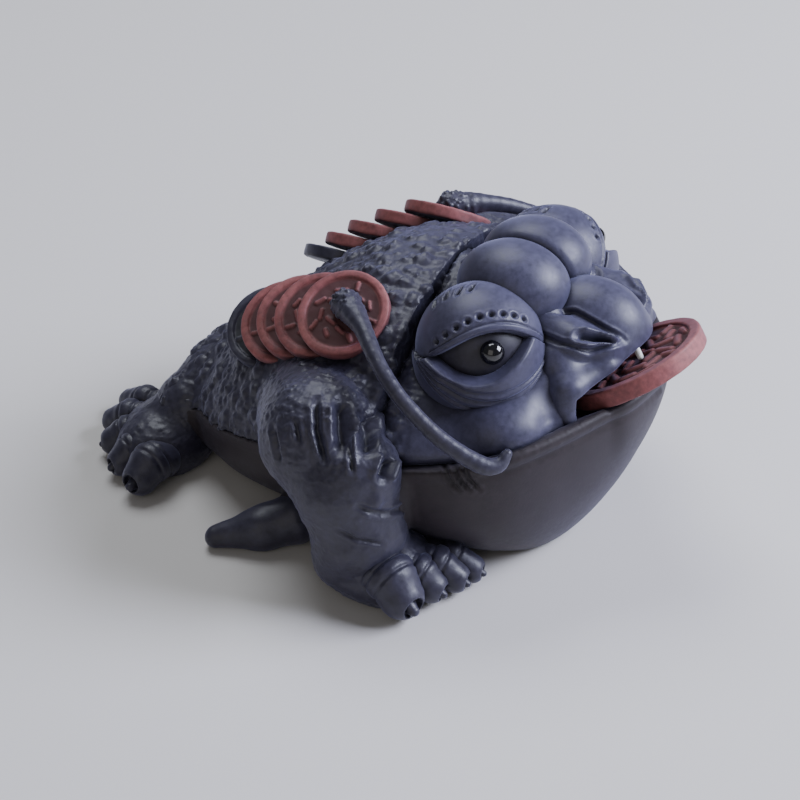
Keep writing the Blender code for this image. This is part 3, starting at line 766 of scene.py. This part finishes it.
def coin(name, node, size, rim, centre, normal, top_is, relief, step, material, side=1):
    """A pressed coin: a raised rim round a sunk field that carries worn strokes in relief."""
    radius, thick = size
    low = (-radius - 1, -radius - 1, -thick)
    p = grid(low, (radius + 1, radius + 1, thick), step)
    across = np.sqrt(p[0] ** 2 + p[1] ** 2) + 0 * p[2]
    disc = smooth_max(across - radius, np.abs(p[2]) - thick / 2, 0.5)
    well = smooth_max(across - (radius - rim * 1.9), thick / 2 - rim * 0.5 - p[2], 0.3)
    points, quads = surface(smooth_max(disc, -well, 0.35), low, step)
    across = np.hypot(points[:, 0], points[:, 1])
    inside = (points[:, 2] > thick / 2 - rim) * np.clip((radius - rim * 1.95 - across) / 0.5, 0, 1)
    marks = relief(points)
    points = points + (inside * marks * rim * 0.5)[:, None] * (0, 0, 1)
    points = worked(points, quads, 0.04 * ripple(points, 1.2, 3))
    # painted shade over the sunk field, with less of it on the raised strokes
    sunk = inside * (1 - 0.75 * np.clip(1.6 * marks, 0, 1))
    z = Vector(normal).normalized()
    x = (Vector(top_is) - z * z.dot(Vector(top_is))).normalized()
    turn = np.array(Matrix((x, z.cross(x), z)))
    piece(name, points @ turn + centre, quads, node, material, side, sunk)


def coins():
    """The loose coin in the mouth, and a string of overlapping coins down each side of the back."""
    relief = strokes(34, COIN_RADIUS - 2, 5)
    size = (COIN_RADIUS, COIN_THICK)
    place = (COIN_CENTRE, COIN_UP, (1, 0, 0))
    coin("mouth_coin_relief", "mouth_coin", size, 1.15, *place, relief, 0.16, RED_CLAY)
    size = (STRING_COIN_RADIUS, STRING_COIN_THICK)
    for name, side in SIDES:
        for k in range(1, COINS_PER_STRING + 2):
            last = k > COINS_PER_STRING
            node = f"string_end_{name}" if last else f"string_coin_{name}_{k}"
            place = (node_centre(node) * (side, 1, 1), STRING_NORMAL, (0, 1, 0))
            relief = strokes(18, 6.4, 10 + k)
            material = BODY_CLAY if last else RED_CLAY
            coin(f"{node}_relief", node, size, 0.8, *place, relief, 0.2, material, side)


# ---- Cords ---------------------------------------------------------------------------------
CORD_STEP = 0.25
CORD_LOW, CORD_HIGH = (-42, -42, 26), (-17, 4, 54)
CORD_POINTS = 29


def smooth_path(points, count):
    """Points along a spline that passes through the given ones."""
    points = [np.array(p, float) for p in points]
    made = []
    for s in np.linspace(0, len(points) - 1, count):
        i = min(int(s), len(points) - 2)
        t = s - i
        a, b = points[i], points[i + 1]
        before = points[i - 1] if i else 2 * a - b
        after = points[i + 2] if i < len(points) - 2 else 2 * b - a
        square, cube = 2 * before - 5 * a + 4 * b - after, 3 * a - before - 3 * b + after
        made.append(0.5 * (2 * a + (b - before) * t + square * t**2 + cube * t**3))
    return made


def cords():
    p = grid(CORD_LOW, CORD_HIGH, CORD_STEP)
    last = len(CORD) - 1
    radii = np.interp(np.linspace(0, last, CORD_POINTS), range(last + 1), CORD_RADII)
    points, quads = surface(limb(p, smooth_path(CORD, CORD_POINTS), radii, 0.15), CORD_LOW, CORD_STEP)
    knob = np.exp(-((np.linalg.norm(points - CORD[0], axis=1) / 4.2) ** 4))
    height = 0.05 * ripple(points, 2.5, 6) + knob * (0.7 * pebbles(points, 1.2, 3) - 0.3)
    both_sides("cord_coil", worked(points, quads, height), quads, "cord", BODY_CLAY)


# ---- Limbs ---------------------------------------------------------------------------------
FORELEG_LOW, FORELEG_HIGH, FORELEG_STEP = (-51, -29, -0.6), (-14, 16, 42), 0.33
ELBOW, ELBOW_RADII = (-41.2, -13.4, 26.5), (7.6, 8.0, 7.4)
HIND_LOW, HIND_HIGH, HIND_STEP = (-26, 18, -0.6), (12, 52, 27), 0.4
FLANK_LOW, FLANK_HIGH, FLANK_STEP = (-47, -4, -0.6), (-26, 22, 12), 0.3
FOOT_STEP, TOE_STEP = 0.3, 0.2
# a limb's clay stands this far outside the form that the body blends with
OVERLAY = 0.08


def foreleg():
    p = grid(FORELEG_LOW, FORELEG_HIGH, FORELEG_STEP)
    field = limb(p, FORELEG, FORELEG_RADII, 2) - OVERLAY
    field = smooth_min(field, ellipsoid(p, ELBOW, ELBOW_RADII), 1.0)
    field = smooth_max(field, -p[2], 1.0)
    points, quads = surface(field, FORELEG_LOW, FORELEG_STEP)
    points = worked(points, quads, arm_marks(points, quads))
    both_sides("foreleg_clay", points, quads, "foreleg", BODY_CLAY)


def foot(centre, radii, leg_points, leg_radii):
    """Vertices and quads of a foot that runs up a little way into its leg."""
    low = np.array(centre) - np.array(radii) - 4
    low[2] = -0.6
    p = grid(low, np.array(centre) + np.array(radii) + 4, FOOT_STEP)
    leg = limb(p, leg_points, leg_radii, 2) + 0.3
    field = smooth_min(ellipsoid(p, centre, radii), leg, 3)
    field = np.maximum(field, ellipsoid(p, centre, np.array(radii) + 2.5))
    field = smooth_max(field, -p[2], 1.0)
    points, quads = surface(field, low, FOOT_STEP)
    height = 0.16 * ripple(points, 1.6, 6) + 0.12 * pebbles(points, 1.0, 3)
    return worked(points, quads, height), quads


def toe(root, tip, radius):
    """Vertices and quads of a knuckled toe whose tip is hollowed round a small claw."""
    root, tip = np.array(root, float), np.array(tip, float)
    length = np.linalg.norm(tip - root)
    ahead = (tip - root) / length
    low = np.minimum(root, tip) - radius - 2
    low[2] = -0.6
    p = grid(low, np.maximum(root, tip) + radius + 2, TOE_STEP)
    knuckle = root * 0.5 + tip * 0.5 + (0, 0, 0.35 * radius)
    field = limb(p, (root, knuckle, tip), (radius * 0.95, radius, radius * 0.88), 0.8)
    cup = tip + ahead * radius * 0.72 + (0, 0, 0.12 * radius)
    field = smooth_max(field, -ellipsoid(p, cup, [radius * 0.46] * 3), 0.35)
    claw = (tip + ahead * radius * 0.10, tip + ahead * radius * 0.74 - np.array((0, 0, 0.02 * radius)))
    field = smooth_min(field, limb(p, claw, (radius * 0.42, radius * 0.22)), 0.25)
    field = smooth_max(field, -p[2], 0.8)
    points, quads = surface(field, low, TOE_STEP)
    height = 0.07 * ripple(points, 1.2, 6)
    for share in (0.22, 0.62):
        height = height - 0.30 * bell((points - root) @ ahead - share * length, 0.38)
    return worked(points, quads, height), quads


def forefeet():
    shape = foot(FOREFOOT, FOREFOOT_RADII, FORELEG, FORELEG_RADII)
    both_sides("forefoot_clay", *shape, "forefoot", BODY_CLAY)
    for k, (root, tip, radius) in enumerate(FORE_TOES, 1):
        points, quads = toe(root, tip, radius)
        for name, side in SIDES:
            node = f"forefoot_toe_{name}_{k}"
            piece(f"{node}_clay", points, quads, node, BODY_CLAY, side)


def hind_foot():
    shape = foot(HIND_FOOT, HIND_FOOT_RADII, HIND_LEG, HIND_LEG_RADII)
    piece("hind_foot_clay", *shape, "hind_foot", BODY_CLAY)
    for k, (root, tip, radius) in enumerate(HIND_TOES, 1):
        piece(f"hind_foot_toe_{k}_clay", *toe(root, tip, radius), f"hind_foot_toe_{k}", BODY_CLAY)


def hind_leg():
    p = grid(HIND_LOW, HIND_HIGH, HIND_STEP)
    field = smooth_max(limb(p, HIND_LEG, HIND_LEG_RADII, 2) - OVERLAY, -p[2], 1.0)
    points, quads = surface(field, HIND_LOW, HIND_STEP)
    height = 0.25 * pebbles(points, 1.6, 3) + 0.1 * ripple(points, 2, 4)
    piece("hind_leg_clay", worked(points, quads, height), quads, "hind_leg", BODY_CLAY)


def flank_toes():
    p = grid(FLANK_LOW, FLANK_HIGH, FLANK_STEP)
    field = smooth_max(limb(p, FLANK_TOE, FLANK_TOE_RADII, 2) - OVERLAY, -p[2], 0.8)
    points, quads = surface(field, FLANK_LOW, FLANK_STEP)
    points = worked(points, quads, 0.1 * ripple(points, 2, 4))
    both_sides("flank_toe_clay", points, quads, "flank_toe", BODY_CLAY)


jaw_field, back_field = body_fields()
jaw_bowl(jaw_field)
warty_back(back_field)
face()
muzzle()
brow_knobs()
eyes()
tooth_and_tongue()
coins()
cords()
foreleg()
forefeet()
hind_foot()
hind_leg()
flank_toes()

# ---- Stage ---------------------------------------------------------------------------------
AZIMUTH, ELEVATION, DISTANCE = math.radians(-63.5), math.radians(32.5), 0.38
LENS, SENSOR = 85.5, 36
CAMERA_AIM = Vector((0, -0.0003, 0.0146))
LIGHT_AIM = Vector((0, 0, 0.02))
scene = bpy.context.scene


def pale_floor():
    bpy.ops.mesh.primitive_plane_add(size=6)
    floor = bpy.context.active_object
    floor.name = "floor"
    pale = bpy.data.materials.new("pale_floor")
    pale.use_nodes = True
    shader = pale.node_tree.nodes["Principled BSDF"]
    shader.inputs["Base Color"].default_value = (0.62, 0.60, 0.57, 1)
    shader.inputs["Roughness"].default_value = 0.8
    floor.data.materials.append(pale)


def softbox(name, place, size, power, colour):
    light = bpy.data.objects.new(name, bpy.data.lights.new(name, "AREA"))
    light.data.shape = "RECTANGLE"
    light.data.size, light.data.size_y = size
    light.data.energy = power
    light.data.color = colour
    light.location = place
    light.rotation_mode = "QUATERNION"
    light.rotation_quaternion = (Vector(place) - LIGHT_AIM).to_track_quat("Z", "Y")
    scene.collection.objects.link(light)


def room_light():
    world = bpy.data.worlds.new("room")
    world.use_nodes = True
    world.node_tree.nodes["Background"].inputs[0].default_value = (0.55, 0.56, 0.60, 1)
    world.node_tree.nodes["Background"].inputs[1].default_value = 0.22
    scene.world = world


def view_camera():
    level = math.cos(ELEVATION)
    away = Vector((math.sin(AZIMUTH) * level, -math.cos(AZIMUTH) * level, math.sin(ELEVATION)))
    camera = bpy.data.objects.new("camera", bpy.data.cameras.new("camera"))
    camera.data.sensor_width = SENSOR
    camera.data.lens = LENS
    camera.data.clip_start = 0.01
    camera.location = CAMERA_AIM + away * DISTANCE
    camera.rotation_mode = "QUATERNION"
    camera.rotation_quaternion = away.to_track_quat("Z", "Y")
    scene.collection.objects.link(camera)
    scene.camera = camera


pale_floor()
softbox("window", (0.30, -0.62, 0.50), (0.5, 0.4), 17, (0.76, 0.80, 1.0))
softbox("top", (0.30, 0.30, 0.8), (0.5, 0.5), 5, (0.88, 0.92, 1.0))
softbox("fill", (-0.9, -0.1, 0.5), (0.8, 0.8), 1.6, (1.0, 0.96, 0.92))
room_light()
view_camera()
